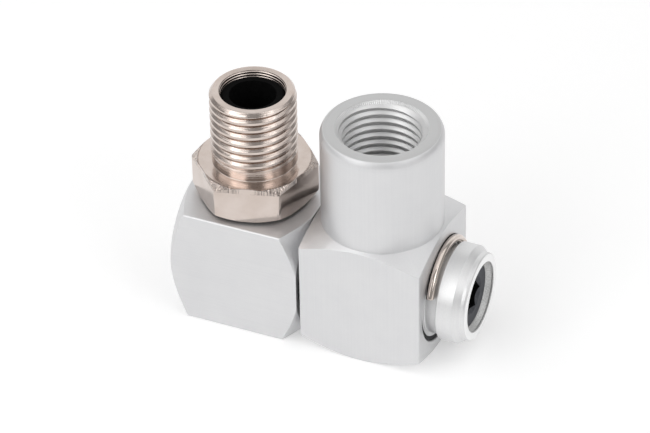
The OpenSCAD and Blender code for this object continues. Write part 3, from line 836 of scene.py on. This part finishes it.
# Spindle with its grooves, flange and recess
def spindle():
    turn = math.pi / 6
    angles = prism_angles(6, KEY_FLAT_R, KEY_EDGE, turn, flat_count=32, edge_count=4)
    key = prism_radius(angles, 6, KEY_FLAT_R, KEY_EDGE, turn)
    start = spindle_low[0]
    end = spindle_high[0]
    face = plug_high[0]
    seat = plug_low[0] - PLUG_SEAT_GAP
    points = [(SPINDLE_BORE_R, start), (STUB_R - STUB_BEVEL, start), (STUB_R, start + STUB_BEVEL),
              (STUB_R, STUB_TOP, 0.1), (SPINDLE_R, STUB_TOP, 0.15)]
    for middle, size in ((-GUIDE_X, GUIDE_GROOVE), (-SEAL_X, SEAL_GROOVE), (0.0, PORT_GROOVE),
                         (SEAL_X, SEAL_GROOVE), (GUIDE_X, GUIDE_GROOVE)):
        points += groove(SPINDLE_R, middle, size, 0.04)
    points += [(SPINDLE_R, RING_GROOVE_X, 0.05), (RING_FLOOR_R, RING_GROOVE_X, 0.12),
               (RING_FLOOR_R, FLANGE_X, 0.12), (FLANGE_R, FLANGE_X, 0.12),
               (FLANGE_R, BEVEL_X, 0.1), (END_RING_R, END_RING_X, 0.06),
               (END_RING_R, end, END_RING_EDGE), (RECESS_R, end, 0.06)]
    points += [(RECESS_R + out, end - depth) for out, depth in RECESS_CUT]
    points += [(RECESS_FOOT_R, face), (PLUG_BORE_R, face - PLUG_BORE_BEVEL), (PLUG_BORE_R, seat)]
    rows = rounded(points)
    rows += [(key, seat), (key, seat - KEY_L), (SPINDLE_BORE_R, seat - KEY_L)]
    body = turned("spindle_piece", angles, rows, to_axis_x(), closed=True)
    inside = SPINDLE_BORE_R / 2
    outside = SPINDLE_R + OVER
    for k in range(4):
        place = Matrix.Translation((0, 0, AXIS_Z * MM)) @ Matrix.Rotation(k * math.pi / 2, 4, "X")
        hole = turned("cross_hole_cutter", even_angles(64),
                      [(0.0, inside), (CROSS_HOLE_R, inside), (CROSS_HOLE_R, outside),
                       (0.0, outside)], place)
        cut(body, hole)
    return dress(body, SPINDLE_METAL, "inlet_block", "spindle", "spindle")


# Plug with its hexagon socket, countersunk at the mouth
def spindle_plug():
    turn = PLUG_TURN + math.pi / 6
    angles = prism_angles(6, PLUG_KEY_R, PLUG_KEY_EDGE, turn, flat_count=24, edge_count=4)
    key = prism_radius(angles, 6, PLUG_KEY_R, PLUG_KEY_EDGE, turn)
    back = plug_low[0]
    face = plug_high[0]
    sink = face - PLUG_SINK_L
    r = (plug_high[2] - plug_low[2]) / 2
    rows = rounded([(0.0, back), (r - PLUG_BEVEL, back, 0.05), (r, back + PLUG_BEVEL, 0.05),
                    (r, face - PLUG_BEVEL, 0.08), (r - PLUG_BEVEL, face, 0.08),
                    (PLUG_DISH_R, face - PLUG_DISH_L), (PLUG_SINK_R, sink)])
    for k in range(PLUG_SINK_ROWS):
        depth = PLUG_SINK_STEP * k
        rows.append((np.maximum(key, PLUG_SINK_R - depth), sink - depth))
    rows += [(key, face - PLUG_KEY_L), (0.0, face - PLUG_DRILL_L)]
    body = turned("spindle_plug_piece", angles, rows, to_axis_x())
    return dress(body, PLUG_STEEL, "inlet_block", "dark_steel", "spindle_plug", sharp=30)


# Snap ring of round wire, open at the front, a little askew in its groove, with its cut ends eased
def retaining_ring():
    wire_r = (ring_high[0] - ring_low[0]) / 2
    x = (ring_high[0] + ring_low[0]) / 2
    middle_r = RING_FLOOR_R + wire_r + RING_SPRUNG
    count = 28
    along = 150
    end_steps = 5
    ends = []
    for k in range(end_steps + 1):
        a = math.pi / 2 * k / end_steps
        ends.append((RING_END_EDGE * (1 - math.cos(a)) / middle_r,
                     wire_r - RING_END_EDGE * (1 - math.sin(a))))
    line = [(RING_START + a, r) for a, r in ends]
    line += [(RING_START + RING_ARC * i / along, wire_r) for i in range(1, along)]
    line += [(RING_START + RING_ARC - a, r) for a, r in reversed(ends)]
    points = []
    faces = []
    for a, r in line:
        for b in even_angles(count):
            reach = middle_r + r * math.cos(b)
            points.append((reach * math.cos(a), reach * math.sin(a), r * math.sin(b)))
    for i in range(len(line) - 1):
        for j in range(count):
            k = (j + 1) % count
            faces.append((i * count + j, i * count + k, (i + 1) * count + k, (i + 1) * count + j))
    faces.append(tuple(reversed(range(count))))
    faces.append(tuple(range((len(line) - 1) * count, len(line) * count)))
    mesh = bpy.data.meshes.new("retaining_ring_piece")
    mesh.from_pydata([(px * MM, py * MM, pz * MM) for px, py, pz in points], [], faces)
    pivot = Matrix.Translation((x * MM, 0, AXIS_Z * MM))
    askew = Matrix.Translation((0, 0, RING_LIFT * MM)) @ pivot @ Matrix.Rotation(RING_TILT, 4, "Y")
    mesh.transform(askew @ pivot.inverted() @ to_axis_x(x))
    piece = bpy.data.objects.new("retaining_ring_piece", mesh)
    bpy.context.scene.collection.objects.link(piece)
    return dress(piece, WIRE, "inlet_block", "spring_wire", "retaining_ring", sharp=50)


outlet_block()
inlet_block()
inlet_fitting()
spindle()
spindle_plug()
retaining_ring()

# The CAD nodes that stay get their materials
FINISHES = {
    "stem_bolt": BOLT_STEEL_AND_SHADE,
    "outer_thrust_washer": WASHER_AND_GAP_SHADE,
    "inner_thrust_washer": WASHER_AND_GAP_SHADE,
    "hex_thrust_washer": WASHER_AND_GAP_SHADE,
    "left_guide_ring": SLIDE,
    "right_guide_ring": SLIDE,
    "spigot_guide_ring": SLIDE,
    "stem_washer": SLIDE,
    "left_spindle_seal": SEAL,
    "right_spindle_seal": SEAL,
    "spindle_face_seal": SEAL,
    "plug_seal": SEAL,
    "stem_seal": SEAL,
    "spigot_seal": SEAL,
}
for node_name, finish in FINISHES.items():
    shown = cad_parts[node_name]
    shown.data.materials.clear()
    shown.data.materials.append(finish)


# Floor, world and lights, with angles in degrees and places in metres
CAMERA_AZIMUTH = 23.688
CAMERA_ELEVATION = 37.379
LIT_PLACE = Vector((-0.008, 0, 0.015))
FLOOR_HALF = 3.0
ROOM_LEVEL = 0.36
ROOM_EDGE = (-0.76, -0.48)
WORLD_LIGHT = 0.36
FLOOR_GLOW = 0.33


def background_share(tree):
    """1 for the rays that show the background: camera, glossy and transmission rays."""
    path = add(tree, "ShaderNodeLightPath")
    total = calc(tree, "ADD", path.outputs["Is Camera Ray"], path.outputs["Is Glossy Ray"])
    return calc(tree, "ADD", total, path.outputs["Is Transmission Ray"], clamp=True)


def studio_floor():
    mesh = bpy.data.meshes.new("studio_floor")
    corners = [(x * FLOOR_HALF, y * FLOOR_HALF, 0) for x, y in ((-1, -1), (1, -1), (1, 1), (-1, 1))]
    mesh.from_pydata(corners, [], [(0, 1, 2, 3)])
    floor = bpy.data.objects.new("studio_floor", mesh)
    bpy.context.scene.collection.objects.link(floor)
    material, tree, shader = new_material("pale_floor")
    shader.inputs["Base Color"].default_value = (0.8, 0.8, 0.8, 1)
    shader.inputs["Roughness"].default_value = 0.9
    shader.inputs["Specular IOR Level"].default_value = 0.0
    shader.inputs["Emission Color"].default_value = (1, 1, 1, 1)
    tree.links.new(calc(tree, "MULTIPLY", background_share(tree), FLOOR_GLOW),
                   shader.inputs["Emission Strength"])
    mesh.materials.append(material)


def direction(azimuth, elevation):
    """Unit vector towards a place round the object. Azimuth 0 is -Y and 90 is +X."""
    a = math.radians(azimuth)
    e = math.radians(elevation)
    return Vector((math.sin(a) * math.cos(e), -math.cos(a) * math.cos(e), math.sin(e)))


def studio_world():
    """White behind the object, and a dimmer room in front of it for what metal mirrors."""
    world = bpy.data.worlds.new("studio")
    bpy.context.scene.world = world
    world.use_nodes = True
    tree = world.node_tree
    back = tree.nodes["Background"]
    where = add(tree, "ShaderNodeTexCoord").outputs["Generated"]
    front = add(tree, "ShaderNodeVectorMath",
                {0: where, 1: direction(CAMERA_AZIMUTH, 0)}, operation="DOT_PRODUCT").outputs["Value"]
    mirrored = add(tree, "ShaderNodeMapRange",
                   {"Value": front, "From Min": ROOM_EDGE[0], "From Max": ROOM_EDGE[1],
                    "To Min": 1.0, "To Max": ROOM_LEVEL}, interpolation_type="SMOOTHSTEP").outputs[0]
    path = add(tree, "ShaderNodeLightPath")
    in_metal = calc(tree, "ADD", path.outputs["Is Glossy Ray"], path.outputs["Is Transmission Ray"],
                    clamp=True)
    seen = calc(tree, "ADD", path.outputs["Is Camera Ray"], calc(tree, "MULTIPLY", mirrored, in_metal))
    rest = calc(tree, "SUBTRACT", 1.0, background_share(tree))
    strength = calc(tree, "ADD", seen, calc(tree, "MULTIPLY", rest, WORLD_LIGHT))
    back.inputs["Color"].default_value = (1, 1, 1, 1)
    tree.links.new(strength, back.inputs["Strength"])


def softbox(name, azimuth, elevation, width, height, radiance, distance=0.7):
    """Area lamp that faces the middle of the object, with its sizes in metres."""
    light = bpy.data.lights.new(name, "AREA")
    light.shape = "RECTANGLE"
    light.size = width
    light.size_y = height
    light.energy = radiance * math.pi * width * height
    lamp = bpy.data.objects.new(name, light)
    towards = direction(azimuth, elevation)
    lamp.location = LIT_PLACE + towards * distance
    lamp.rotation_euler = towards.to_track_quat("Z", "Y").to_euler()
    bpy.context.scene.collection.objects.link(lamp)


studio_floor()
studio_world()
softbox("key_softbox", -22.3, 32, width=0.46, height=0.46, radiance=1.95)
softbox("fill_softbox", 65.2, 34, width=0.34, height=0.4, radiance=1.7)
softbox("left_overhead", CAMERA_AZIMUTH - 90, 56, width=0.6, height=0.5, radiance=1.1)
softbox("right_overhead", CAMERA_AZIMUTH + 90, 56, width=0.6, height=0.5, radiance=0.8)
softbox("top_softbox", CAMERA_AZIMUTH, 89, width=0.36, height=0.5, radiance=0.8, distance=0.72)

# Camera
CAMERA_ROLL = math.radians(-1.122)
CAMERA_DISTANCE = 0.55923
CAMERA_LENS = 202.67
AIM = Vector((-0.01106, 0.00363, 0.01479))

back_axis = direction(CAMERA_AZIMUTH, CAMERA_ELEVATION)
side_axis = direction(CAMERA_AZIMUTH + 90, 0)
up_axis = back_axis.cross(side_axis)
rolled_side = math.cos(CAMERA_ROLL) * side_axis + math.sin(CAMERA_ROLL) * up_axis
rolled_up = -math.sin(CAMERA_ROLL) * side_axis + math.cos(CAMERA_ROLL) * up_axis
camera_data = bpy.data.cameras.new("camera")
camera_data.sensor_width = 36
camera_data.lens = CAMERA_LENS
camera_data.clip_start = 0.01
camera = bpy.data.objects.new("camera", camera_data)
camera.matrix_world = Matrix.LocRotScale(
    AIM + back_axis * CAMERA_DISTANCE,
    Matrix((rolled_side, rolled_up, back_axis)).transposed(),
    None,
)
bpy.context.scene.collection.objects.link(camera)
bpy.context.scene.camera = camera
bpy.context.scene.view_settings.view_transform = "Standard"
